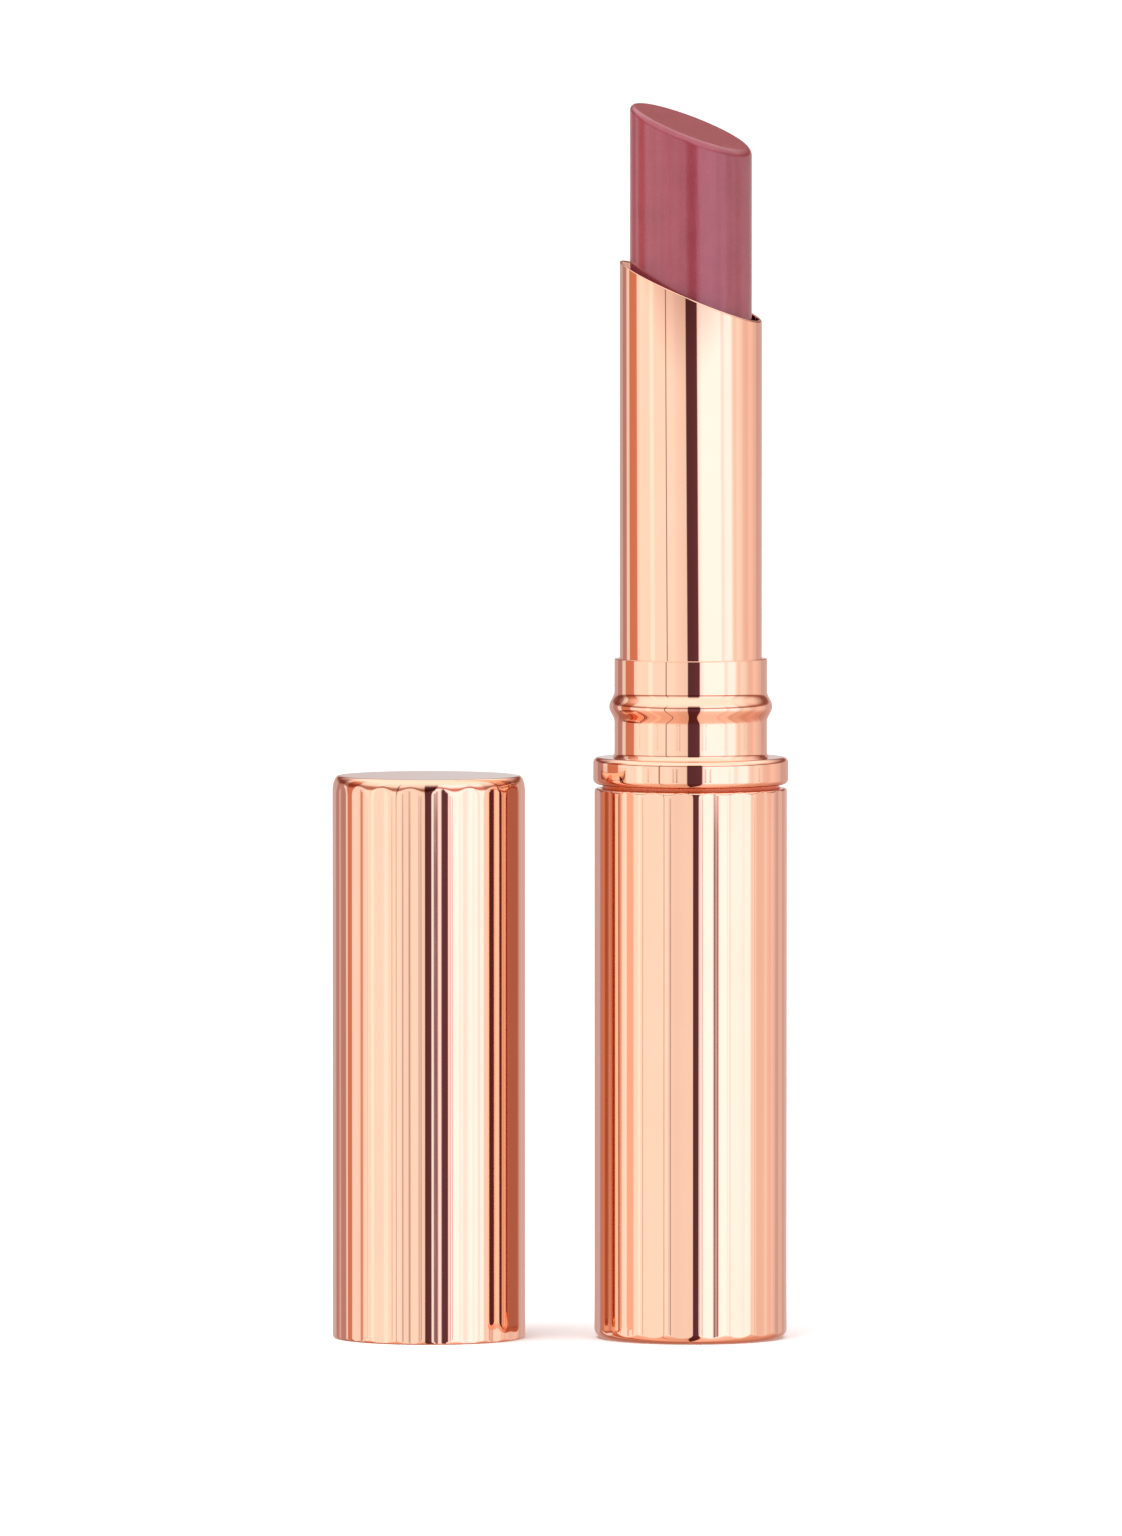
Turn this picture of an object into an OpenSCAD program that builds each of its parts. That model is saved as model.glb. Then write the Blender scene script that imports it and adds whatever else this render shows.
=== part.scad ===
/* [Case] */
// Outside diameter of the base and of the cap, over the ridges
case_d = 15.6; // [15:0.1:16.4]
// Number of soft flutes round the base and round the cap
flute_count = 20; // [12:1:28]
// Depth of a flute, ridge to valley
flute_depth = 0.07; // [0.03:0.01:0.1]
// Wall of the drawn metal shells, under the valleys
shell_wall = 0.45; // [0.35:0.05:0.5]

/* [Base] */
// Height of the base
base_h = 44.6; // [44:0.1:46]
// Round of the base's lower outer edge
base_foot_round = 0.8; // [0.4:0.1:1]
// Turn of the base's flutes about its axis
base_flute_turn = 3.2; // [-9:0.1:9]

/* [Ring and collar] */
// Outside diameter of the middle ring
ring_d = 15.8; // [15.6:0.1:16.4]
// Height of the middle ring
ring_h = 2.2; // [1.6:0.1:3]
// Open groove between the base and the middle ring
ring_gap = 0.3; // [0.2:0.05:0.5]
// Outside diameter of the collar that the cap grips
collar_d = 12.35; // [12.3:0.05:12.4]
// Height of the collar
collar_h = 8; // [7.5:0.1:8.5]
// Outside diameter of the collar's snap bead
bead_d = 13.2; // [13:0.1:13.2]
// Height of the bead's middle above the middle ring
bead_z = 4.1; // [3.8:0.1:4.3]

/* [Sleeve] */
// Outside diameter of the sleeve
sleeve_d = 11.5; // [11.5:0.05:11.5]
// Wall of the sleeve
sleeve_wall = 0.3; // [0.2:0.05:0.3]
// Height of the slanted rim on the sleeve's axis
sleeve_top_z = 84.8; // [84:0.1:86]
// Tilt of the sleeve's slanted rim
sleeve_tilt = 23.3; // [15:0.1:25]
// Turn of the rim's low side from +X toward -Y
sleeve_turn = 13; // [0:1:30]

/* [Bullet] */
// Diameter of the bullet
bullet_d = 9.85; // [9.6:0.05:9.85]
// Height of the bullet's slanted face on its axis
bullet_top_z = 98.1; // [97:0.1:99]
// Tilt of the bullet's slanted face
bullet_tilt = 22.3; // [15:0.1:25]
// Turn of that face's low side from +X toward -Y
bullet_turn = 26; // [0:1:40]

/* [Cap] */
// Height of the cap
cap_h = 45.6; // [45:0.1:47]
// Distance from the case's axis to the cap that stands beside it
cap_x = -21.2; // [-40:0.1:-18]
// Turn of the cap's flutes about its axis
cap_flute_turn = -1.7; // [-9:0.1:9]

/* [Mechanism] */
// Rise of the bullet for one full turn of the base
lead = 14.5; // [14:0.1:15]
// Further rise left when the bullet stands at rest
rise_left = 9; // [6:0.5:9]
// Height of the guide lugs at rest
lug_z = 22.5; // [22.3:0.1:23]

/* [Hidden] */
$fn = 96;
eps = 0.01;         // overshoot of a cutter past the face it opens
running = 0.05;     // radial clearance of a piece that slides or turns
seat = 0.02;        // radial clearance of a piece pressed or glued in place

// Shells
case_r = case_d / 2;
shell_r = case_r - flute_depth - shell_wall;
flute_steps = 8;
edge_steps = 4;
edge_round = 0.25;
cap_edge = [0.5, 1.3];
foot_hole_r = 6.4;
foot_wall = 0.5;

// Base, from the foot up
plate_z = foot_wall + seat;
plate_h = 0.5;
label_r = 5.6;
label_h = 0.1;
weight_z = plate_z + plate_h;
weight_h = 3;
liner_z = weight_z + weight_h;
liner_floor = 0.65;
liner_top = base_h - 1;
washer_h = 0.3;
flange_z = liner_top + washer_h + running;

// Upper body
ring_z = base_h + ring_gap;
ring_top = ring_z + ring_h;
ring_round = 0.45;
ring_web = 0.6;
collar_flare = 0.15;
bead_half = 1.25;
bead_steps = 12;
collar_top = ring_top + collar_h;
sleeve_r = sleeve_d / 2;
sleeve_bore = sleeve_r - sleeve_wall;
sleeve_z = ring_z + 0.15;
boss_r = ring_d / 2 - 0.65;
slant_spare = 4;     // length left above a slanted cut before it is made

// Slotted tube, spiral and carrier, from the axis out
stem_r = 4.55;
tube_bore = stem_r + 2 * running;
tube_r = 5.35;
tube_z = liner_z + liner_floor + 0.15;
tube_top = 48.7;
slot_w = 1.7;
slot_spare = 0.35;   // slot length left past a lug at each end of its travel
spiral_bore = 5.42;
spiral_r = 6.7;
spiral_z = tube_z + 0.95;
spiral_top = liner_top - 0.4;
groove_r = 6.3;
groove_half = 23;
groove_slices = 54;
lug_r = 0.75;
lug_end = 6.15;
lug_min = lug_z - lead;
lug_max = lug_z + rise_left;
groove_end = 1.3;
clip_r = 6.3;
clip_h = 0.65;
clip_seat = 0.3;
friction_wire = 0.19;
friction_seat = 5;
friction_z = [41.5, 37];

// Carrier and bullet
cup_r = sleeve_bore - running;
cup_bore = bullet_d / 2 + eps;
cup_depth = 8.5;
cup_floor = 0.8;
vent_r = 1;
cup_rim = 82.1 - rise_left;
cup_z = cup_rim - cup_depth;
stem_wall = 0.8;
stem_z = lug_z - 1.7;

// Cap, from the mouth up
cap_wall_top = 0.5;
cap_weight_h = 2.6;
cap_liner_z = 0.15;
cap_bore = collar_d / 2 + 0.075;
cap_bore_top = 41.6;
cap_liner_top = cap_h - cap_wall_top - cap_weight_h - seat;
mouth_bore = 6.68;
mouth_h = 5.4;
grip_r = 6.9;
grip_bore = 6.3;
grip_z = 1.3;
grip_h = 1.6;
grip_chamfer = 0.3;
grip_gap = 0.8;

// Outline of a fluted shell: a circle with a soft wave round it
function flute_r(a) = case_r - flute_depth * (1 - cos(flute_count * a)) / 2;
function flute_outline(turn) = [
    for (i = [0 : flute_count * flute_steps - 1])
        let (a = 360 * i / (flute_count * flute_steps))
        flute_r(a) * [cos(a + turn), sin(a + turn)]
];

// Quarter of an ellipse that rounds an outer edge, from the wall at radius r
// to the end face at height z; size[1] is negative on a lower edge
function edge_curve(r, z, size) = [
    for (i = [0 : edge_steps])
        let (a = 90 * i / edge_steps)
        [r - size[0] * (1 - cos(a)), z - size[1] * (1 - sin(a))]
];
function lower_edge(r, z, size) = reverse(edge_curve(r, z, [size[0], -size[1]]));
function reverse(list) = [for (i = [len(list) - 1 : -1 : 0]) list[i]];

// A tube wall between two radii
module tube(outer, inner, z, h) {
    translate([0, 0, z]) difference() {
        cylinder(r = outer, h = h);
        translate([0, 0, -eps]) cylinder(r = inner, h = h + 2 * eps);
    }
}

// Everything on the upper side of a plane that slopes down toward turn
module above_slant(z, tilt, turn) {
    translate([0, 0, z]) rotate([0, 0, -turn]) rotate([0, tilt, 0])
        translate([-20, -20, 0]) cube(40);
}

// The fluted outside of the base or the cap, standing on z = 0
module fluted_solid(h, turn, low_size, high_size) {
    intersection() {
        linear_extrude(h) polygon(flute_outline(turn));
        rotate_extrude() polygon(concat(
            [[0, 0]], lower_edge(case_r, 0, low_size), edge_curve(case_r, h, high_size), [[0, h]]
        ));
    }
}

module base_shell() {
    color("#E3A287") difference() {
        fluted_solid(base_h, base_flute_turn, [base_foot_round, base_foot_round],
            [edge_round, edge_round]);
        translate([0, 0, foot_wall]) cylinder(r = shell_r, h = base_h);
        translate([0, 0, -eps]) cylinder(r = foot_hole_r, h = foot_wall + 2 * eps);
    }
}

module foot_plate() {
    color("#D99A80") {
        translate([0, 0, label_h + seat])
            cylinder(r = foot_hole_r - seat, h = plate_z - label_h - seat + eps);
        translate([0, 0, plate_z]) cylinder(r = shell_r - seat, h = plate_h);
    }
}

module shade_label() {
    color("#EFE3D8") translate([0, 0, seat]) cylinder(r = label_r, h = label_h);
}

module base_weight() {
    color("#8C9094") translate([0, 0, weight_z]) cylinder(r = shell_r - 2 * seat, h = weight_h);
}

module base_liner() {
    color("#F1EFEA") {
        tube(shell_r - seat, spiral_r + seat, liner_z, liner_top - liner_z);
        tube(spiral_r + seat + eps, 2, liner_z, liner_floor);
    }
}

module spiral() {
    turn = 360 * (lug_z - lug_min + groove_end) / lead;
    groove_h = lug_max - lug_min + 2 * groove_end;
    color("#E8E6E0") difference() {
        tube(spiral_r, spiral_bore, spiral_z, spiral_top - spiral_z);
        translate([0, 0, lug_min - groove_end]) rotate(turn)
            linear_extrude(groove_h, twist = 360 * groove_h / lead, slices = groove_slices,
                segments = 14)
                for (start = [0, 180]) rotate(start) groove_section();
    }
}

// Cut across one helical groove
module groove_section() {
    polygon(concat(
        [for (a = [groove_half, -groove_half]) 5 * [cos(a), sin(a)]],
        [for (i = [-2 : 2]) let (a = groove_half * i / 2) groove_r * [cos(a), sin(a)]]
    ));
}

module thrust_washer() {
    color("#D8D4CB") tube(shell_r - 2 * running, tube_r + running, liner_top, washer_h);
}

module middle_ring() {
    color("#E3A287") difference() {
        rotate_extrude() polygon(concat(
            [[sleeve_r + seat, ring_z]],
            lower_edge(ring_d / 2, ring_z, [ring_round, ring_round]),
            edge_curve(ring_d / 2, ring_top, [ring_round, ring_round]),
            [[sleeve_r + seat, ring_top]]
        ));
        translate([0, 0, ring_z - eps]) cylinder(r = boss_r, h = ring_h - ring_web + eps);
    }
}

module collar() {
    color("#E3A287") difference() {
        rotate_extrude() polygon(concat(
            [[sleeve_r + seat, ring_top], [collar_d / 2 + collar_flare, ring_top],
                [collar_d / 2, ring_top + 2 * collar_flare]],
            [for (i = [0 : bead_steps])
                let (t = 2 * i / bead_steps - 1)
                [collar_d / 2 + (bead_d - collar_d) / 4 * (1 + cos(180 * t)),
                    ring_top + bead_z + bead_half * t]],
            [[collar_d / 2, collar_top], [sleeve_r + seat, collar_top]]
        ));
        translate([0, 0, ring_top - eps]) cylinder(r = sleeve_r + seat, h = collar_h + 2 * eps);
    }
}

module sleeve() {
    color("#E3A287") difference() {
        tube(sleeve_r, sleeve_bore, sleeve_z, sleeve_top_z - sleeve_z + slant_spare);
        above_slant(sleeve_top_z, sleeve_tilt, sleeve_turn);
    }
}

// Plastic core of the upper half: slotted guide tube, flange and boss
module slotted_tube() {
    color("#F1EFEA") difference() {
        union() {
            translate([0, 0, tube_z]) cylinder(r = tube_r, h = ring_z - tube_z);
            translate([0, 0, flange_z]) cylinder(r = shell_r - 3 * running, h = ring_z - flange_z);
            translate([0, 0, ring_z - eps]) cylinder(r = boss_r - seat, h = ring_h - ring_web - seat);
            translate([0, 0, ring_z - eps]) cylinder(r = sleeve_bore - seat, h = tube_top - ring_z);
        }
        translate([0, 0, tube_z - eps]) cylinder(r = tube_bore, h = tube_top);
        tube(sleeve_r + seat, sleeve_bore - seat, ring_z + running, ring_h);
        for (z = friction_z)
            tube(tube_r + 1, friction_seat, z - friction_wire - running, 2 * (friction_wire + running));
        tube(tube_r + 1, tube_r - clip_seat, tube_z + running, clip_h + 2 * running);
        translate([-10, -slot_w / 2, lug_min - lug_r - slot_spare])
            cube([20, slot_w, lug_max - lug_min + 2 * (lug_r + slot_spare)]);
    }
}

module tube_clip() {
    color("#C9CCD0") tube(clip_r, tube_r - clip_seat + seat, tube_z + 2 * running, clip_h);
}

module friction_ring(z) {
    color("#3A3A3A") translate([0, 0, z]) rotate_extrude()
        translate([friction_seat + friction_wire, 0]) circle(r = friction_wire - eps / 2);
}

module friction_ring_upper() {
    friction_ring(friction_z[0]);
}

module friction_ring_lower() {
    friction_ring(friction_z[1]);
}

// Cup that holds the bullet, on a long hollow stem with two guide lugs
module carrier() {
    color("#F4F2EE") {
        difference() {
            union() {
                translate([0, 0, cup_z - cup_floor]) cylinder(r = cup_r, h = cup_depth + cup_floor);
                translate([0, 0, stem_z]) cylinder(r = stem_r, h = cup_z - stem_z - eps);
                translate([-lug_end, 0, lug_z]) rotate([0, 90, 0]) cylinder(r = lug_r, h = 2 * lug_end);
            }
            translate([0, 0, cup_z]) cylinder(r = cup_bore, h = cup_depth + eps);
            translate([0, 0, stem_z - eps]) cylinder(r = stem_r - stem_wall, h = cup_z - cup_floor - stem_z);
            translate([0, 0, cup_z - 2 * cup_floor]) cylinder(r = vent_r, h = 2 * cup_floor + eps);
        }
    }
}

module bullet() {
    color("#AC5E68") difference() {
        translate([0, 0, cup_z]) cylinder(r = bullet_d / 2, h = bullet_top_z - cup_z + slant_spare);
        above_slant(bullet_top_z, bullet_tilt, bullet_turn);
    }
}

module cap_shell() {
    color("#E3A287") translate([cap_x, 0, 0]) difference() {
        fluted_solid(cap_h, cap_flute_turn, [edge_round, edge_round], cap_edge);
        translate([0, 0, -eps]) cylinder(r = shell_r, h = cap_h - cap_wall_top + eps);
    }
}

module cap_liner() {
    color("#F1EFEA") translate([cap_x, 0, 0]) difference() {
        translate([0, 0, cap_liner_z]) cylinder(r = shell_r - seat, h = cap_liner_top - cap_liner_z);
        translate([0, 0, -eps]) cylinder(r = cap_bore, h = cap_bore_top + eps);
        translate([0, 0, -eps]) cylinder(r = mouth_bore, h = mouth_h + eps);
        translate([0, 0, grip_z - seat]) cylinder(r = grip_r + seat, h = grip_h + 2 * seat);
    }
}

module cap_weight() {
    color("#8C9094") translate([cap_x, 0, cap_liner_top])
        cylinder(r = shell_r - 2 * seat, h = cap_weight_h);
}

// Springy ring in the cap's mouth that snaps under the collar's bead
module grip_ring() {
    color("#E8E6E0") translate([cap_x, 0, 0]) difference() {
        tube(grip_r, grip_bore, grip_z, grip_h);
        translate([0, 0, grip_z - eps])
            cylinder(r1 = grip_bore + grip_chamfer, r2 = grip_bore, h = grip_chamfer + eps);
        translate([0, 0, grip_z + grip_h - grip_chamfer])
            cylinder(r1 = grip_bore, r2 = grip_bore + grip_chamfer, h = grip_chamfer + eps);
        translate([0, -grip_gap / 2, grip_z - eps]) cube([case_r, grip_gap, grip_h + 2 * eps]);
    }
}

base_shell();
foot_plate();
shade_label();
base_weight();
base_liner();
spiral();
thrust_washer();
middle_ring();
collar();
sleeve();
slotted_tube();
tube_clip();
friction_ring_upper();
friction_ring_lower();
carrier();
bullet();
cap_shell();
cap_liner();
cap_weight();
grip_ring();
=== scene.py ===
import math
import bpy
import bmesh
from mathutils import Matrix, Vector


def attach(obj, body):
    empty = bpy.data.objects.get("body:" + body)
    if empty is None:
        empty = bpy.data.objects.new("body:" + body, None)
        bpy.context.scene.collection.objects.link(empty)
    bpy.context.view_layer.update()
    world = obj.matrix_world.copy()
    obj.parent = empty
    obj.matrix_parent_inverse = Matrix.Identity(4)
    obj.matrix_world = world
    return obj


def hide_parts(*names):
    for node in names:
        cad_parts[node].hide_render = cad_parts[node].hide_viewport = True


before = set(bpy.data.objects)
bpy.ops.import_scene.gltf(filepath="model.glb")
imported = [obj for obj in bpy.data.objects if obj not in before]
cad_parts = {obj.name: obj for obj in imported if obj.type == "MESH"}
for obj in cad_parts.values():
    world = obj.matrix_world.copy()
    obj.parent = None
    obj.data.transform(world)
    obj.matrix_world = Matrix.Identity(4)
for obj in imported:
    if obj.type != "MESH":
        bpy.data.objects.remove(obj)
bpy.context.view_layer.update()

mm = 0.001
creaseAngle = 32      # degrees; a sharper corner stays a crease in the shading
print("frame loaded:", len(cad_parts), "nodes")


def linearColour(hexCode):
    # sRGB hex to the linear values that nodes take
    channels = [int(hexCode[i:i + 2], 16) / 255 for i in (1, 3, 5)]
    return [c / 12.92 if c <= 0.04045 else ((c + 0.055) / 1.055) ** 2.4 for c in channels] + [1.0]


def addNode(tree, kind, inputs=None, **settings):
    # inputs hold plain values or sockets to link from
    node = tree.nodes.new("ShaderNode" + kind)
    for key, value in settings.items():
        setattr(node, key, value)
    for key, value in (inputs or {}).items():
        if isinstance(value, bpy.types.NodeSocket):
            tree.links.new(value, node.inputs[key])
        else:
            node.inputs[key].default_value = value
    return node


def newMaterial(name):
    material = bpy.data.materials.new(name)
    material.use_nodes = True
    tree = material.node_tree
    return material, tree, tree.nodes["Principled BSDF"]


def finishPiece(name, bm, body, slotName, material, *nodes):
    mesh = bpy.data.meshes.new(name)
    bm.to_mesh(mesh)
    bm.free()
    mesh.shade_smooth()
    mesh.set_sharp_from_angle(angle=math.radians(creaseAngle))
    mesh.materials.append(material)
    piece = bpy.data.objects.new(name, mesh)
    bpy.context.scene.collection.objects.link(piece)
    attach(piece, body)
    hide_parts(*nodes)
    print("made", name, len(mesh.polygons), "faces")


camera = {
    "distance": 1.44,         # a long lens far off, so the case stands almost square
    "lens": 417,
    "sensor": 36,
    "clip": (0.1, 200),
    "lookDown": 2.9,          # degrees
    "aim": (-0.0105, 0, 0.0462),
}
studio = {
    # the tent round the case, by bearing from the camera in degrees: how bright its cloth is
    "walls": [(-180, 0.72), (-150, 0.74), (-131, 0.8), (-126, 1.0), (-104, 1.04), (-92, 1.12), (-88, 1.28),
              (-69, 1.24), (-67, 1.5), (-61, 1.5), (-59, 1.24), (-27, 1.26), (-20, 1.14), (-8, 1.06),
              (10, 1.3), (13, 1.5), (18, 1.9), (21, 2.0), (51, 2.0), (53, 1.6), (57, 1.62), (59, 1.92),
              (70, 1.9), (74, 1.14), (78, 1.04), (84, 1.2), (92, 1.06), (104, 0.97), (113, 1.12),
              (134, 0.8), (180, 0.76)],
    # how that changes with height, by the sine of the elevation: shaded near the table, a darker gap
    # between the walls and the ceiling
    "heights": [(-1, "#E6B8A2"), (-0.45, "#EEC8B6"), (-0.15, "#FFFFFF"), (0.12, "#FFFFFF"),
                (0.2, "#AE8072"), (0.3, "#AE8072"), (0.44, "#FFFFFF")],
    # flags and cards hung before the cloth: left and right bearing, and colour
    "flags": [
        [(-180, -147, "#F6D8D6"), (-146, -127, "#D8AEB0"), (-117, -97, "#DC957A"),
         (-38.1, -36.9, "#5F4044"), (-4.4, 12.8, "#5B3A45"), (95, 131, "#FFEBE7"),
         (133, 180, "#F6D8D6")],
        [(12, 72, "#F3F0FF")],
    ],
    # low seams that only the base and the cap mirror
    "seams": [(-85.4, -84.0, "#DC977C"), (-52.5, -51.6, "#C8937C"), (-21.0, -20.0, "#4E3238"),
              (-17.8, -16.0, "#5A3C40"), (16.0, 17.6, "#5B3A45"), (22.2, 23.4, "#54343C"),
              (46.3, 47.1, "#EED6CC"), (88, 89.2, "#DCBCB2")],
    "seamBand": (-0.1, -0.054),      # how low and how high they reach, by the sine of the elevation
    "seamEdge": 0.1,          # softness of the band's two ends, on the ramp's scale
    "edge": 0.25,             # softness of a flag's edge, degrees
    "wallTop": 2.0,           # brightness that a ramp's white stands for
    "ceiling": 1.5,
    "ceilingFrom": (0.45, 0.7),      # sine of the elevation where the cloth turns into the ceiling
    "backdrop": "#FFFFFF",
}
softbox = {"watts": 4.2, "width": 0.7, "depth": 0.5,
           "at": (-0.35, -0.35, 0.75), "facing": (-0.35, -0.35, 0.7)}      # facing points away from the case
floor = {"size": 60, "squares": 8, "rough": 0.9, "sheen": 0.1,
         "paint": "#F8FAFB", "mottle": "#F6F8F9", "grain": 30 * mm}


def makeCamera():
    data = bpy.data.cameras.new("camera")
    data.lens = camera["lens"]
    data.sensor_width = camera["sensor"]
    data.clip_start, data.clip_end = camera["clip"]
    lookDown = math.radians(camera["lookDown"])
    back = Vector((0, -math.cos(lookDown), math.sin(lookDown)))
    aim = Vector(camera["aim"])
    viewer = bpy.data.objects.new("camera", data)
    viewer.location = aim + back * camera["distance"]
    viewer.rotation_euler = back.to_track_quat("Z", "Y").to_euler()
    bpy.context.scene.collection.objects.link(viewer)
    bpy.context.scene.camera = viewer


def bearingRamp(tree, turned, stops):
    # a ramp round the whole horizon, from at most 32 (bearing, colour) pairs; a height goes on the
    # same scale, as the sine of its elevation times 180
    ramp = addNode(tree, "ValToRGB", {0: turned})
    elements = ramp.color_ramp.elements
    for number, (angle, colour) in enumerate(stops):
        stop = elements[number] if number < 2 else elements.new(1.0)
        stop.position = min(max((angle + 180) / 360, 0), 1)
        stop.color = colour
    return ramp.outputs[0]


def makeStudio():
    world = bpy.data.worlds.new("lightTent")
    bpy.context.scene.world = world
    world.use_nodes = True
    tree = world.node_tree
    tree.nodes.clear()
    direction = addNode(tree, "TexCoord").outputs["Generated"]
    axes = addNode(tree, "SeparateXYZ", {0: direction})
    towardCamera = addNode(tree, "Math", {0: axes.outputs["Y"], 1: -1.0}, operation="MULTIPLY")
    bearing = addNode(tree, "Math", {0: axes.outputs["X"], 1: towardCamera.outputs[0]},
                      operation="ARCTAN2")
    turned = addNode(tree, "MapRange", {"Value": bearing.outputs[0], "From Min": -math.pi,
                                        "From Max": math.pi})
    white, black = [1, 1, 1, 1], [0, 0, 0, 1]
    cloth = bearingRamp(tree, turned.outputs[0],
                        [(angle, [bright / studio["wallTop"]] * 3 + [1])
                         for angle, bright in studio["walls"]])
    level = addNode(tree, "MapRange", {"Value": axes.outputs["Z"], "From Min": -1.0, "From Max": 1.0})
    seamLow, seamHigh = [180 * sine for sine in studio["seamBand"]]
    inBand = bearingRamp(tree, level.outputs[0],
                         [(seamLow - studio["seamEdge"], black), (seamLow, white),
                          (seamHigh, white), (seamHigh + studio["seamEdge"], black)])
    for row in studio["flags"] + [studio["seams"]]:
        stops = []
        for left, right, hexCode in row:
            colour = linearColour(hexCode)
            stops += [(left - studio["edge"], white), (left, colour), (right, colour),
                      (right + studio["edge"], white)]
        cards = bearingRamp(tree, turned.outputs[0], stops)
        share = inBand if row is studio["seams"] else 1.0
        cloth = addNode(tree, "Mix", {0: share, 6: cloth, 7: cards}, data_type="RGBA",
                        blend_type="MULTIPLY").outputs[2]
    heights = bearingRamp(tree, level.outputs[0],
                          [(sine * 180, linearColour(hexCode)) for sine, hexCode in studio["heights"]])
    cloth = addNode(tree, "Mix", {0: 1.0, 6: cloth, 7: heights}, data_type="RGBA",
                    blend_type="MULTIPLY").outputs[2]
    ceilingLow, ceilingHigh = studio["ceilingFrom"]
    lift = addNode(tree, "MapRange", {"Value": axes.outputs["Z"], "From Min": ceilingLow,
                                      "From Max": ceilingHigh})
    top = studio["ceiling"] / studio["wallTop"]
    tent = addNode(tree, "Mix", {0: lift.outputs[0], 6: cloth, 7: (top, top, top, 1)}, data_type="RGBA")
    lit = addNode(tree, "Background", {"Color": tent.outputs[2], "Strength": studio["wallTop"]})
    plain = addNode(tree, "Background", {"Color": linearColour(studio["backdrop"]), "Strength": 1.0})
    seen = addNode(tree, "LightPath").outputs["Is Camera Ray"]
    both = addNode(tree, "MixShader", {0: seen, 1: lit.outputs[0], 2: plain.outputs[0]})
    addNode(tree, "OutputWorld", {0: both.outputs[0]})

    lamp = bpy.data.lights.new("softbox", "AREA")
    lamp.energy = softbox["watts"]
    lamp.shape = "RECTANGLE"
    lamp.size = softbox["width"]
    lamp.size_y = softbox["depth"]
    light = bpy.data.objects.new("softbox", lamp)
    light.location = softbox["at"]
    light.rotation_euler = Vector(softbox["facing"]).to_track_quat("Z", "Y").to_euler()
    light.visible_glossy = False
    bpy.context.scene.collection.objects.link(light)
    bpy.context.scene.view_settings.view_transform = "Standard"


def makeFloor():
    # matt painted board, faintly uneven
    material, tree, shader = newMaterial("mattPaintedBoard")
    spot = addNode(tree, "TexCoord").outputs["Object"]
    patches = addNode(tree, "TexNoise", {"Vector": spot, "Scale": 1 / floor["grain"], "Detail": 3.0})
    colour = addNode(tree, "Mix", {0: patches.outputs[0], 6: linearColour(floor["paint"]),
                                   7: linearColour(floor["mottle"])}, data_type="RGBA")
    tree.links.new(colour.outputs[2], shader.inputs["Base Color"])
    shader.inputs["Roughness"].default_value = floor["rough"]
    shader.inputs["Specular IOR Level"].default_value = floor["sheen"]
    bm = bmesh.new()
    bmesh.ops.create_grid(bm, x_segments=floor["squares"], y_segments=floor["squares"],
                          size=floor["size"] / 2)
    mesh = bpy.data.meshes.new("floor")
    bm.to_mesh(mesh)
    bm.free()
    mesh.materials.append(material)
    board = bpy.data.objects.new("floor", mesh)
    board.visible_glossy = False      # the polished metal mirrors the tent, not the board
    bpy.context.scene.collection.objects.link(board)


makeCamera()
makeStudio()
makeFloor()
print("camera, studio and floor ready")


anodised = {
    "colour": "#F4C6AC", "deeper": "#F1BFA4",   # the dye is a shade uneven
    "rough": (0.015, 0.04),
    "drawLine": 0.22 * mm,    # width of the faint lengthwise lines from drawing the tube
    "drawStretch": 0.04,
    "swell": 9 * mm,          # gentle unevenness that makes a long reflection wander
    "swellDepth": 0.0035 * mm,
    "peel": 0.5 * mm,
    "peelDepth": 0.00003 * mm,
}


def anodisedAluminium():
    # aluminium tube, deep drawn, mirror-polished and dyed rose gold: clean dark and pale stripes
    # that wander slightly, with hairline variation in how sharp they are
    material, tree, shader = newMaterial("anodisedAluminiumRoseGold")
    spot = addNode(tree, "TexCoord").outputs["Object"]
    stretched = addNode(tree, "Mapping", {"Vector": spot, "Scale": (1, 1, anodised["drawStretch"])})
    lines = addNode(tree, "TexNoise", {"Vector": stretched.outputs[0], "Scale": 1 / anodised["drawLine"],
                                       "Detail": 3.0, "Roughness": 0.6})
    low, high = anodised["rough"]
    rough = addNode(tree, "MapRange", {"Value": lines.outputs[0], "From Min": 0.35, "From Max": 0.7,
                                       "To Min": low, "To Max": high})
    dye = addNode(tree, "TexNoise", {"Vector": spot, "Scale": 1 / anodised["swell"], "Detail": 2.0})
    colour = addNode(tree, "Mix", {0: dye.outputs[0], 6: linearColour(anodised["colour"]),
                                   7: linearColour(anodised["deeper"])}, data_type="RGBA")
    swell = addNode(tree, "TexNoise", {"Vector": spot, "Scale": 1 / anodised["swell"], "Detail": 0.0})
    swellBump = addNode(tree, "Bump", {"Height": swell.outputs[0], "Distance": anodised["swellDepth"],
                                       "Strength": 1.0})
    peel = addNode(tree, "TexNoise", {"Vector": spot, "Scale": 1 / anodised["peel"], "Detail": 1.0})
    peelBump = addNode(tree, "Bump", {"Height": peel.outputs[0], "Distance": anodised["peelDepth"],
                                      "Strength": 1.0, "Normal": swellBump.outputs[0]})
    tree.links.new(colour.outputs[2], shader.inputs["Base Color"])
    tree.links.new(rough.outputs[0], shader.inputs["Roughness"])
    tree.links.new(peelBump.outputs[0], shader.inputs["Normal"])
    shader.inputs["Metallic"].default_value = 1.0
    return material


spun = {"colour": "#EDBFA6", "deeper": "#DDA88C", "ringPitch": 0.12 * mm, "rough": (0.22, 0.36),
        "ringDepth": 0.0006 * mm, "waveUnit": 0.314}      # a wave texture repeats every 0.314 at scale 1


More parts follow.
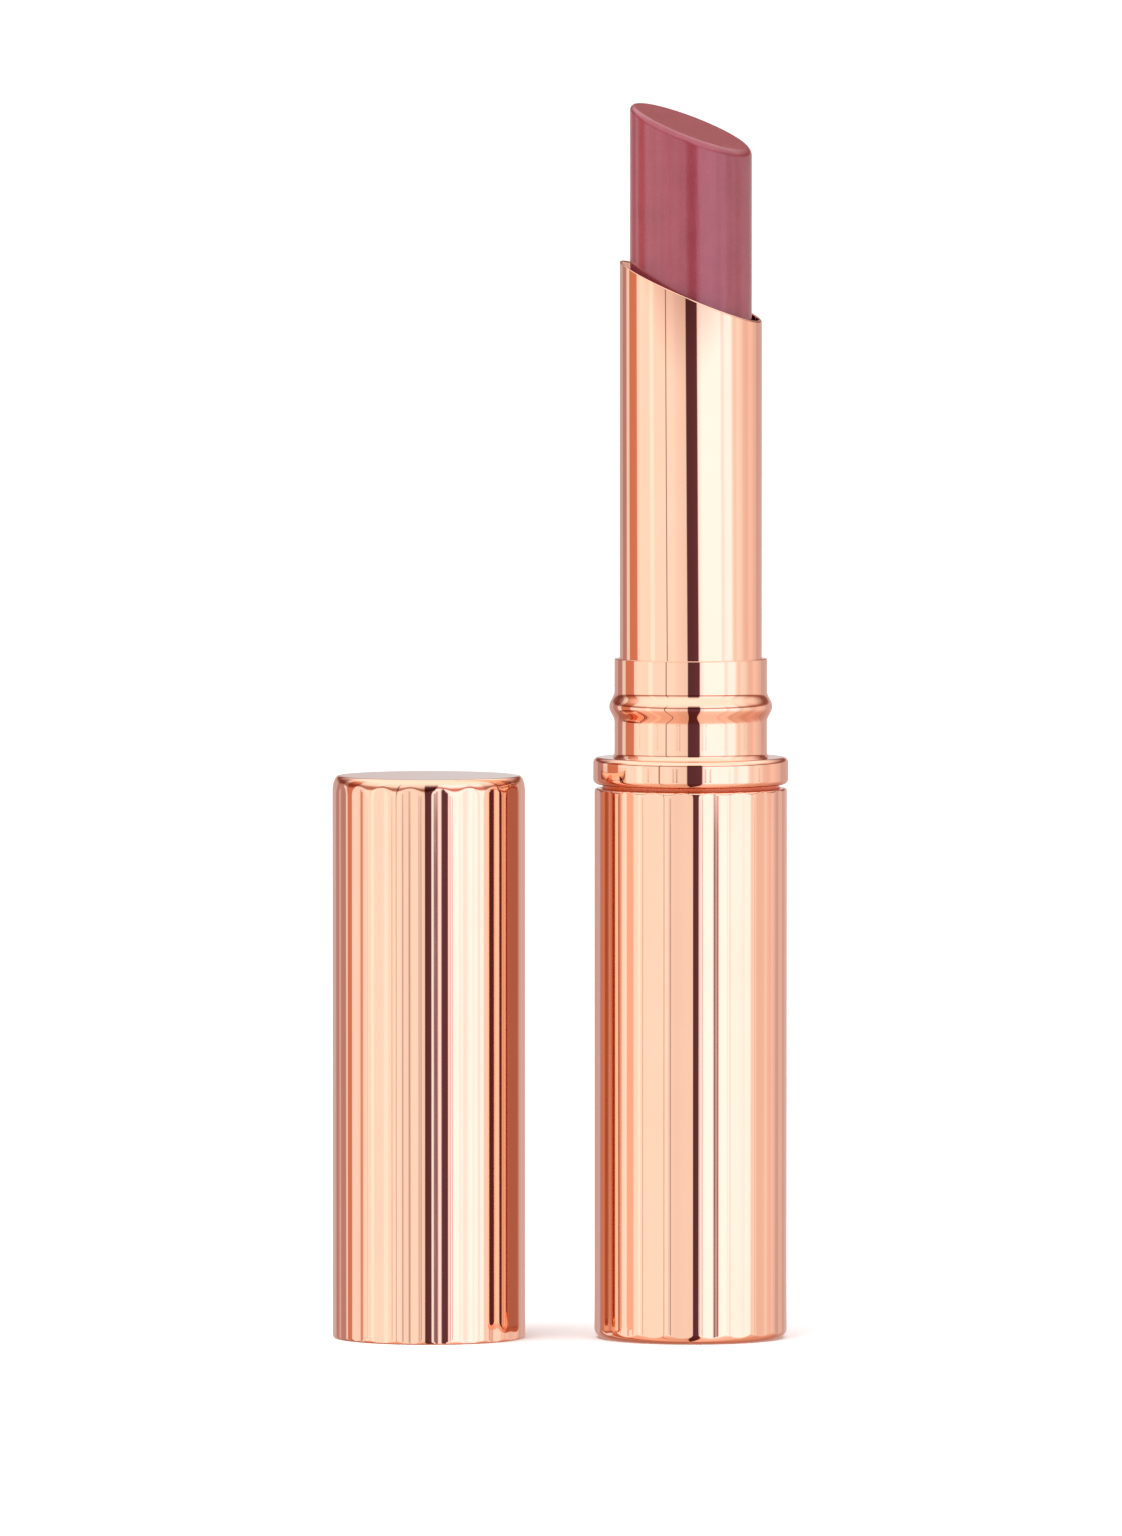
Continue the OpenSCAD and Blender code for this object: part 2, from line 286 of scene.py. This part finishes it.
def spunAluminium():
    # the same alloy turned on a lathe and left satin: fine rings round the middle
    material, tree, shader = newMaterial("spunAluminiumSatin")
    spot = addNode(tree, "TexCoord").outputs["Object"]
    rings = addNode(tree, "TexWave", {"Vector": spot, "Scale": spun["waveUnit"] / spun["ringPitch"],
                                      "Distortion": 0.6, "Detail": 2.0, "Detail Scale": 3.0},
                    wave_type="RINGS", rings_direction="Z")
    colour = addNode(tree, "Mix", {0: rings.outputs["Fac"], 6: linearColour(spun["colour"]),
                                   7: linearColour(spun["deeper"])}, data_type="RGBA")
    low, high = spun["rough"]
    rough = addNode(tree, "MapRange", {"Value": rings.outputs["Fac"], "To Min": low, "To Max": high})
    groove = addNode(tree, "Bump", {"Height": rings.outputs["Fac"], "Distance": spun["ringDepth"]})
    tree.links.new(colour.outputs[2], shader.inputs["Base Color"])
    tree.links.new(rough.outputs[0], shader.inputs["Roughness"])
    tree.links.new(groove.outputs[0], shader.inputs["Normal"])
    shader.inputs["Metallic"].default_value = 1.0
    return material


wax = {
    "colour": "#7E313A", "lighter": "#8A3B45", "speck": "#B06870",
    "pearl": "#FFDAE6",       # the pearl pigment gives the sheen a cool pink cast
    "rough": (0.13, 0.22),
    "bloom": 2.2 * mm,        # soft cloudiness
    "grain": 0.16 * mm,       # pigment and pearl grain
    "glint": 0.14,            # how far the brightest grain goes toward the speck's colour
    "grainDepth": 0.004 * mm,
    "streak": 0.9 * mm,       # lengthwise streaks from pulling it out of the mould
    "streakDepth": 0.012 * mm, "streakStretch": 0.05,
    "ripple": 1.2 * mm,       # shallow ripples that fray the edges of a reflection
    "rippleDepth": 0.009 * mm, "rippleStretch": 0.4,
}


def lipWax():
    # cast lipstick wax, drawn from its mould: satin, dense colour, fine pearl grain, faint
    # lengthwise streaks and ripples
    material, tree, shader = newMaterial("castLipWaxDustyRose")
    spot = addNode(tree, "TexCoord").outputs["Object"]
    cloud = addNode(tree, "TexNoise", {"Vector": spot, "Scale": 1 / wax["bloom"], "Detail": 3.0})
    stretched = addNode(tree, "Mapping", {"Vector": spot, "Scale": (1, 1, wax["streakStretch"])})
    streaks = addNode(tree, "TexNoise", {"Vector": stretched.outputs[0], "Scale": 1 / wax["streak"],
                                         "Detail": 2.0})
    shade = addNode(tree, "Math", {0: cloud.outputs[0], 1: streaks.outputs[0]}, operation="ADD")
    body = addNode(tree, "MapRange", {"Value": shade.outputs[0], "From Min": 0.7, "From Max": 1.3})
    colour = addNode(tree, "Mix", {0: body.outputs[0], 6: linearColour(wax["colour"]),
                                   7: linearColour(wax["lighter"])}, data_type="RGBA")
    grain = addNode(tree, "TexNoise", {"Vector": spot, "Scale": 1 / wax["grain"], "Detail": 2.0})
    glint = addNode(tree, "MapRange", {"Value": grain.outputs[0], "From Min": 0.58, "From Max": 0.75,
                                       "To Max": wax["glint"]})
    pearly = addNode(tree, "Mix", {0: glint.outputs[0], 6: colour.outputs[2],
                                   7: linearColour(wax["speck"])}, data_type="RGBA")
    low, high = wax["rough"]
    rough = addNode(tree, "MapRange", {"Value": grain.outputs[0], "From Min": 0.3, "From Max": 0.7,
                                       "To Min": low, "To Max": high})
    streakBump = addNode(tree, "Bump", {"Height": streaks.outputs[0], "Distance": wax["streakDepth"]})
    drawn = addNode(tree, "Mapping", {"Vector": spot, "Scale": (1, 1, wax["rippleStretch"])})
    ripple = addNode(tree, "TexNoise", {"Vector": drawn.outputs[0], "Scale": 1 / wax["ripple"],
                                        "Detail": 3.0})
    rippleBump = addNode(tree, "Bump", {"Height": ripple.outputs[0], "Distance": wax["rippleDepth"],
                                        "Normal": streakBump.outputs[0]})
    grainBump = addNode(tree, "Bump", {"Height": grain.outputs[0], "Distance": wax["grainDepth"],
                                       "Normal": rippleBump.outputs[0]})
    tree.links.new(pearly.outputs[2], shader.inputs["Base Color"])
    tree.links.new(rough.outputs[0], shader.inputs["Roughness"])
    tree.links.new(grainBump.outputs[0], shader.inputs["Normal"])
    shader.inputs["IOR"].default_value = 1.5
    shader.inputs["Specular IOR Level"].default_value = 1.0
    shader.inputs["Specular Tint"].default_value = linearColour(wax["pearl"])
    shader.inputs["Subsurface Weight"].default_value = 0.12
    shader.inputs["Subsurface Radius"].default_value = (1.0, 0.35, 0.3)
    shader.inputs["Subsurface Scale"].default_value = 0.6 * mm
    return material


moulded = {"flow": 4 * mm, "roughSpread": 0.05}


def mouldedPlastic(name, hexMain, hexDeep, roughness, grain, depth, ior):
    # an injection-moulded part: even colour with slight flow marks and the tool's spark-eroded grain
    material, tree, shader = newMaterial(name)
    spot = addNode(tree, "TexCoord").outputs["Object"]
    flow = addNode(tree, "TexNoise", {"Vector": spot, "Scale": 1 / moulded["flow"], "Detail": 2.0,
                                      "Distortion": 0.8})
    colour = addNode(tree, "Mix", {0: flow.outputs[0], 6: linearColour(hexMain),
                                   7: linearColour(hexDeep)}, data_type="RGBA")
    erosion = addNode(tree, "TexNoise", {"Vector": spot, "Scale": 1 / grain, "Detail": 2.0})
    rough = addNode(tree, "MapRange", {"Value": erosion.outputs[0], "From Min": 0.3, "From Max": 0.7,
                                       "To Min": roughness - moulded["roughSpread"],
                                       "To Max": roughness + moulded["roughSpread"]})
    bump = addNode(tree, "Bump", {"Height": erosion.outputs[0], "Distance": depth})
    tree.links.new(colour.outputs[2], shader.inputs["Base Color"])
    tree.links.new(rough.outputs[0], shader.inputs["Roughness"])
    tree.links.new(bump.outputs[0], shader.inputs["Normal"])
    shader.inputs["IOR"].default_value = ior
    return material


def turnedSteel(name, hexMain, hexDeep, grain):
    # steel cut from bar: grey with short crossing marks
    material, tree, shader = newMaterial(name)
    spot = addNode(tree, "TexCoord").outputs["Object"]
    marks = addNode(tree, "TexNoise", {"Vector": spot, "Scale": 1 / grain, "Detail": 4.0, "Distortion": 1.5})
    colour = addNode(tree, "Mix", {0: marks.outputs[0], 6: linearColour(hexMain),
                                   7: linearColour(hexDeep)}, data_type="RGBA")
    rough = addNode(tree, "MapRange", {"Value": marks.outputs[0], "To Min": 0.25, "To Max": 0.5})
    tree.links.new(colour.outputs[2], shader.inputs["Base Color"])
    tree.links.new(rough.outputs[0], shader.inputs["Roughness"])
    shader.inputs["Metallic"].default_value = 1.0
    return material


label = {"paper": "#F6F0EA", "fibre": "#E9E0D7", "ink": "#B4606C", "fibreWidth": 0.08 * mm,
         "fibreDepth": 0.003 * mm, "ringAt": 4.9 * mm, "ringWidth": 0.12 * mm, "dotRadius": 2.4 * mm}


def labelPaper():
    # matt coated sticker paper: fine fibres, a printed border ring and a dot of the shade
    material, tree, shader = newMaterial("coatedLabelPaper")
    spot = addNode(tree, "TexCoord").outputs["Object"]
    fibres = addNode(tree, "TexNoise", {"Vector": spot, "Scale": 1 / label["fibreWidth"], "Detail": 4.0,
                                        "Distortion": 2.0})
    paper = addNode(tree, "Mix", {0: fibres.outputs[0], 6: linearColour(label["paper"]),
                                  7: linearColour(label["fibre"])}, data_type="RGBA")
    flat = addNode(tree, "Mapping", {"Vector": spot, "Scale": (1, 1, 0)})
    radius = addNode(tree, "VectorMath", {0: flat.outputs[0]}, operation="LENGTH")
    ring = addNode(tree, "Math", {0: radius.outputs["Value"], 1: label["ringAt"], 2: label["ringWidth"]},
                   operation="COMPARE")
    dot = addNode(tree, "Math", {0: radius.outputs["Value"], 1: label["dotRadius"]},
                  operation="LESS_THAN")
    printed = addNode(tree, "Math", {0: ring.outputs[0], 1: dot.outputs[0]}, operation="MAXIMUM")
    colour = addNode(tree, "Mix", {0: printed.outputs[0], 6: paper.outputs[2],
                                   7: linearColour(label["ink"])}, data_type="RGBA")
    bump = addNode(tree, "Bump", {"Height": fibres.outputs[0], "Distance": label["fibreDepth"]})
    tree.links.new(colour.outputs[2], shader.inputs["Base Color"])
    tree.links.new(bump.outputs[0], shader.inputs["Normal"])
    shader.inputs["Roughness"].default_value = 0.6
    return material


roseGold = anodisedAluminium()
satinRoseGold = spunAluminium()
waxRose = lipWax()
paperWhite = labelPaper()
linerPlastic = mouldedPlastic("mouldedAbsIvory", "#F1EFEA", "#E9E6DF", 0.38, 0.12 * mm, 0.0015 * mm, 1.53)
guidePlastic = mouldedPlastic("mouldedAcetalNatural", "#ECEAE3", "#E2DFD5", 0.3, 0.2 * mm, 0.001 * mm, 1.48)
carrierPlastic = mouldedPlastic("mouldedPolypropyleneWhite", "#F4F2EE", "#ECE8E1", 0.42, 0.15 * mm,
                                0.002 * mm, 1.49)
# copper-orange moulded plastic, its orange pushed brighter and redder than the part's own colour: painted
# reflection of the rose-gold metal glowing in the shadowed groove under the ring
copperPaintedReflectionPlastic = mouldedPlastic("mouldedAbsCopperPaintedReflection", "#FF7E3C", "#F57234", 0.3, 0.15 * mm, 0.001 * mm, 1.53)
siliconeDark = mouldedPlastic("mouldedSiliconeCharcoal", "#3A3A3A", "#2F2F30", 0.6, 0.08 * mm, 0.002 * mm,
                              1.41)
weightSteel = turnedSteel("turnedSteelPlain", "#8C9094", "#7A7E83", 0.3 * mm)
clipSteel = turnedSteel("springSteelBright", "#C9CCD0", "#B4B8BD", 0.2 * mm)
print("materials ready")

# the inner parts keep their solid shapes and only get a finish
cadFinish = {
    "base_weight": weightSteel, "cap_weight": weightSteel, "tube_clip": clipSteel,
    # the thrust washer and slotted tube take the bright orange that has painted reflection in it
    "base_liner": linerPlastic, "spiral": guidePlastic, "thrust_washer": copperPaintedReflectionPlastic,
    "slotted_tube": copperPaintedReflectionPlastic, "carrier": carrierPlastic,
    "friction_ring_upper": siliconeDark, "friction_ring_lower": siliconeDark,
}
for nodeName, finish in cadFinish.items():
    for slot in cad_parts[nodeName].material_slots:
        slot.material = finish


weld = 1e-7           # metres; points nearer than this become one
onPlane = 1e-8        # metres; a point this near a cutting plane lies on it
nearly = 0.01         # mm; how far past a limit a point still counts as on it
slantSpare = 4        # mm of wall above a slant's middle, cut away with it


def wireOutline(outline):
    # radius, height and corner round of each point in mm; it closes on itself unless it ends on the axis
    bm = bmesh.new()
    points = [bm.verts.new((radius * mm, 0, height * mm)) for radius, height, _ in outline]
    pairs = list(zip(points, points[1:]))
    if outline[0][0] > 0:
        pairs.append((points[-1], points[0]))
    for pair in pairs:
        bm.edges.new(pair)
    for size in sorted({corner[2] for corner in outline if corner[2]}):
        corners = [point for point, corner in zip(points, outline) if corner[2] == size]
        segments = max(4, min(16, round(size * 20)))      # a bigger round gets more facets
        bmesh.ops.bevel(bm, geom=corners, affect="VERTICES", offset=size * mm, offset_type="OFFSET",
                        segments=segments, profile=0.5, material=-1)
    return bm


def spinOutline(bm, steps, centreX=0.0, turn=math.tau):
    bmesh.ops.spin(bm, geom=bm.verts[:] + bm.edges[:], cent=(0, 0, 0), axis=(0, 0, 1), angle=turn,
                   steps=steps, use_merge=turn == math.tau)
    bmesh.ops.remove_doubles(bm, verts=bm.verts, dist=weld)
    bmesh.ops.recalc_face_normals(bm, faces=bm.faces)
    bmesh.ops.translate(bm, vec=(centreX, 0, 0), verts=bm.verts)


def flute(bm, facts, centreX=0.0):
    # soft waves round the outside: no vertex stands farther out than the wave at its bearing
    for vert in bm.verts:
        x, y = vert.co.x - centreX, vert.co.y
        radius = math.hypot(x, y)
        phase = facts["flutes"] * (math.atan2(y, x) - math.radians(facts["fluteTurn"]))
        limit = (facts["radius"] - facts["fluteDepth"] * (1 - math.cos(phase)) / 2) * mm
        if radius > limit:
            vert.co.x = centreX + x * limit / radius
            vert.co.y = y * limit / radius


def slantCut(bm, height, tilt, turn):
    # cuts off everything above a plane that slopes down toward turn, and returns the cut edges
    facing = Matrix.Rotation(math.radians(-turn), 3, "Z") @ Matrix.Rotation(math.radians(tilt), 3, "Y")
    cut = bmesh.ops.bisect_plane(bm, geom=bm.verts[:] + bm.edges[:] + bm.faces[:], dist=onPlane,
                                 plane_co=(0, 0, height * mm), plane_no=facing @ Vector((0, 0, 1)),
                                 clear_outer=True)
    return [part for part in cut["geom_cut"] if isinstance(part, bmesh.types.BMEdge)]


shell = {"steps": 640, "bore": 7.28}      # 32 steps to a flute keeps the polished waves smooth

base = {
    "radius": 7.8, "height": 44.6, "flutes": 20, "fluteDepth": 0.07, "fluteTurn": 3.2,
    "footRound": 0.8, "rimRound": 0.25, "footHole": 6.4, "footWall": 0.5, "burr": 0.04,
    "footLand": 6.9, "footHold": 1.1, "rimHold": 0.5, "boreRound": 0.05,      # holds keep the walls flat
}


def makeBaseShell():
    r, top, bore = base["radius"], base["height"], shell["bore"]
    bm = wireOutline([
        (base["footHole"], base["footWall"], 0), (base["footHole"], 0, base["burr"]),
        (base["footLand"], 0, 0), (r, 0, base["footRound"]), (r, base["footHold"], 0),
        (r, top - base["rimHold"], 0), (r, top, base["rimRound"]), (bore, top, base["boreRound"]),
        (bore, top - base["rimHold"], 0), (bore, base["footWall"], 0),
    ])
    spinOutline(bm, shell["steps"])
    flute(bm, base)
    finishPiece("baseShell", bm, "base", "rose_gold", roseGold, "base_shell")


foot = {"plate": 6.38, "flange": 7.26, "bottom": 0.12, "step": 0.52, "top": 1.02, "steps": 192,
        "plateHold": 0.3, "plateRound": 0.06, "flangeRound": 0.05}
sticker = {"radius": 5.6, "bottom": 0.02, "hold": 0.1, "edgeRound": 0.02}


def makeFoot():
    bm = wireOutline([
        (0, foot["bottom"], 0), (foot["plate"] - foot["plateHold"], foot["bottom"], 0),
        (foot["plate"], foot["bottom"], foot["plateRound"]), (foot["plate"], foot["step"], 0),
        (foot["flange"], foot["step"], 0), (foot["flange"], foot["top"], foot["flangeRound"]),
        (0, foot["top"], 0),
    ])
    spinOutline(bm, foot["steps"])
    finishPiece("footPlate", bm, "base", "rose_gold_satin", satinRoseGold, "foot_plate")


def makeSticker():
    r, low = sticker["radius"], sticker["bottom"]
    bm = wireOutline([(0, low, 0), (r - sticker["hold"], low, 0), (r, low, sticker["edgeRound"]),
                      (r, foot["bottom"], 0), (0, foot["bottom"], 0)])
    spinOutline(bm, foot["steps"])
    finishPiece("shadeLabel", bm, "base", "label_paper", paperWhite, "shade_label")


ring = {"radius": 7.9, "bottom": 44.9, "top": 47.1, "round": 0.45, "hollow": 7.25, "web": 0.6, "hole": 5.77,
        "hold": 0.6, "topHold": 0.7, "burr": 0.03, "steps": 320}


def makeMiddleRing():
    r, low, high = ring["radius"], ring["bottom"], ring["top"]
    bm = wireOutline([
        (ring["hollow"], low, ring["burr"]), (r, low, ring["round"]), (r, low + ring["hold"], 0),
        (r, high - ring["hold"], 0), (r, high, ring["round"]), (r - ring["topHold"], high, 0),
        (ring["hole"], high, 0),
        (ring["hole"], high - ring["web"], 0), (ring["hollow"], high - ring["web"], 0),
    ])
    spinOutline(bm, ring["steps"])
    finishPiece("middleRing", bm, "upper", "rose_gold", roseGold, "middle_ring")


collar = {
    "radius": 6.175, "bottom": 47.1, "top": 55.1, "bore": 5.77, "flare": 0.15,
    "beadProud": 0.425, "beadHeight": 51.2, "beadHalf": 1.25, "beadPoints": 36, "beadHold": 0.06,
    "flareRound": 0.1, "flareHold": 0.8, "lipHold": 0.4, "lip": 0.08, "burr": 0.03, "steps": 320,
}


def makeCollar():
    r, low, high = collar["radius"], collar["bottom"], collar["top"]
    middle, half = collar["beadHeight"], collar["beadHalf"]
    outline = [(collar["bore"], low, 0), (r + collar["flare"], low, 0),
               (r, low + 2 * collar["flare"], collar["flareRound"]), (r, low + collar["flareHold"], 0),
               (r, middle - half - collar["beadHold"], 0)]
    for step in range(collar["beadPoints"] + 1):      # a soft wave swells out of the wall and back
        t = 2 * step / collar["beadPoints"] - 1
        outline.append((r + collar["beadProud"] * (1 + math.cos(math.pi * t)) / 2, middle + half * t, 0))
    outline += [(r, middle + half + collar["beadHold"], 0), (r, high - collar["lipHold"], 0),
                (r, high, collar["lip"]), (collar["bore"], high, collar["burr"])]
    bm = wireOutline(outline)
    spinOutline(bm, collar["steps"])
    finishPiece("collar", bm, "upper", "rose_gold", roseGold, "collar")


sleeve = {"radius": 5.75, "bore": 5.45, "bottom": 45.05, "top": 84.8, "tilt": 23.3, "turn": 13,
          "rimRound": 0.09, "rimFacets": 4, "steps": 320}


def makeSleeve():
    blankTop = sleeve["top"] + slantSpare
    bm = wireOutline([(sleeve["radius"], sleeve["bottom"], 0), (sleeve["radius"], blankTop, 0),
                      (sleeve["bore"], blankTop, 0), (sleeve["bore"], sleeve["bottom"], 0)])
    spinOutline(bm, sleeve["steps"])
    rim = slantCut(bm, sleeve["top"], sleeve["tilt"], sleeve["turn"])
    bmesh.ops.bridge_loops(bm, edges=rim)
    bmesh.ops.recalc_face_normals(bm, faces=bm.faces)
    bmesh.ops.bevel(bm, geom=rim, affect="EDGES", offset=sleeve["rimRound"] * mm, offset_type="OFFSET",
                    segments=sleeve["rimFacets"], profile=0.5, material=-1)
    finishPiece("sleeve", bm, "upper", "rose_gold", roseGold, "sleeve")


bullet = {"radius": 4.925, "bottom": 64.6, "top": 98.1, "tilt": 22.3, "turn": 26, "edgeRound": 0.5,
          "edgeFacets": 8, "footRound": 0.1, "faceInset": 0.8, "steps": 256}


def makeBullet():
    blankTop = bullet["top"] + slantSpare
    bm = wireOutline([(0, bullet["bottom"], 0), (bullet["radius"], bullet["bottom"], bullet["footRound"]),
                      (bullet["radius"], blankTop, 0), (0, blankTop, 0)])
    spinOutline(bm, bullet["steps"])
    rim = slantCut(bm, bullet["top"], bullet["tilt"], bullet["turn"])
    face = bmesh.ops.edgeloop_fill(bm, edges=rim)["faces"]
    bmesh.ops.recalc_face_normals(bm, faces=bm.faces)
    bmesh.ops.inset_individual(bm, faces=face, thickness=bullet["faceInset"] * mm,
                               use_even_offset=True)
    bmesh.ops.bevel(bm, geom=rim, affect="EDGES", offset=bullet["edgeRound"] * mm, offset_type="OFFSET",
                    segments=bullet["edgeFacets"], profile=0.5, material=-1)
    finishPiece("bullet", bm, "lift", "lip_colour", waxRose, "bullet")


cap = {
    "radius": 7.8, "height": 45.6, "flutes": 20, "fluteDepth": 0.07, "fluteTurn": -1.7,
    "mouthRound": 0.25, "mouthHold": 0.5, "boreRound": 0.05, "topWall": 0.5, "centreX": -21.2,
    "topRound": 0.5, "topDrop": 1.3, "topHold": 0.6, "topLand": 0.9,
}


def makeCapShell():
    r, top, bore = cap["radius"], cap["height"], shell["bore"]
    ceiling = top - cap["topWall"]
    bm = wireOutline([
        (0, ceiling, 0), (bore, ceiling, 0), (bore, cap["mouthHold"], 0), (bore, 0, cap["boreRound"]),
        (r, 0, cap["mouthRound"]), (r, cap["mouthHold"], 0), (r, top - cap["topHold"], 0),
        (r, top, cap["topRound"]), (r - cap["topLand"], top, 0), (0, top, 0),
    ])
    # the top edge is a quarter of an upright ellipse: its round is stretched downward
    lowest, inmost = top - cap["topHold"] - nearly, r - cap["topRound"] - nearly
    crown = [vert for vert in bm.verts if vert.co.z > lowest * mm and vert.co.x > inmost * mm]
    bmesh.ops.scale(bm, vec=(1, 1, cap["topDrop"] / cap["topRound"]), verts=crown,
                    space=Matrix.Translation((0, 0, -top * mm)))
    spinOutline(bm, shell["steps"], cap["centreX"] * mm)
    flute(bm, cap, cap["centreX"] * mm)
    finishPiece("capShell", bm, "cap", "rose_gold", roseGold, "cap_shell")


liner = {"outer": 7.26, "bore": 6.25, "boreTop": 41.6, "mouth": 6.68, "mouthTop": 5.4, "bottom": 0.15,
         "top": 42.48, "seat": 6.92, "seatLow": 1.28, "seatHigh": 2.92, "boreRound": 0.3,
         "stepRound": 0.1, "stepHold": 0.3, "grooveRound": 0.04, "mouthRound": 0.12, "outerRound": 0.05,
         "topRound": 0.2, "ceilingHold": 0.5, "boreHold": 0.6, "steps": 256}


def makeCapLiner():
    bore, mouth, groove = liner["bore"], liner["mouth"], liner["grooveRound"]
    bm = wireOutline([
        (0, liner["boreTop"], 0), (bore - liner["ceilingHold"], liner["boreTop"], 0),
        (bore, liner["boreTop"], liner["boreRound"]), (bore, liner["boreTop"] - liner["boreHold"], 0),
        (bore, liner["mouthTop"] + liner["stepHold"], 0), (bore, liner["mouthTop"], liner["stepRound"]),
        (mouth, liner["mouthTop"], 0), (mouth, liner["seatHigh"], groove),
        (liner["seat"], liner["seatHigh"], 0), (liner["seat"], liner["seatLow"], 0),
        (mouth, liner["seatLow"], groove), (mouth, liner["bottom"], liner["mouthRound"]),
        (liner["outer"], liner["bottom"], liner["outerRound"]),
        (liner["outer"], liner["top"], liner["topRound"]), (0, liner["top"], 0),
    ])
    spinOutline(bm, liner["steps"], cap["centreX"] * mm)
    finishPiece("capLiner", bm, "cap", "liner_plastic", linerPlastic, "cap_liner")


grip = {"outer": 6.9, "bore": 6.3, "bottom": 1.3, "top": 2.9, "chamfer": 0.3, "gap": 0.8, "soften": 0.05,
        "steps": 180}


def makeGripRing():
    chamfer, soften = grip["chamfer"], grip["soften"]
    bm = wireOutline([
        (grip["bore"], grip["bottom"] + chamfer, soften), (grip["bore"] + chamfer, grip["bottom"], soften),
        (grip["outer"], grip["bottom"], 0), (grip["outer"], grip["top"], 0),
        (grip["bore"] + chamfer, grip["top"], soften), (grip["bore"], grip["top"] - chamfer, soften),
    ])
    halfGap = math.atan(grip["gap"] / 2 / grip["outer"])
    bmesh.ops.rotate(bm, verts=bm.verts, cent=(0, 0, 0), matrix=Matrix.Rotation(halfGap, 3, "Z"))
    spinOutline(bm, grip["steps"], cap["centreX"] * mm, math.tau - 2 * halfGap)
    ends = [edge for edge in bm.edges if edge.is_boundary]
    bmesh.ops.edgeloop_fill(bm, edges=ends)
    bmesh.ops.recalc_face_normals(bm, faces=bm.faces)
    finishPiece("gripRing", bm, "cap", "guide_plastic", guidePlastic, "grip_ring")


makeBaseShell()
makeFoot()
makeSticker()
makeMiddleRing()
makeCollar()
makeSleeve()
makeBullet()
makeCapShell()
makeCapLiner()
makeGripRing()
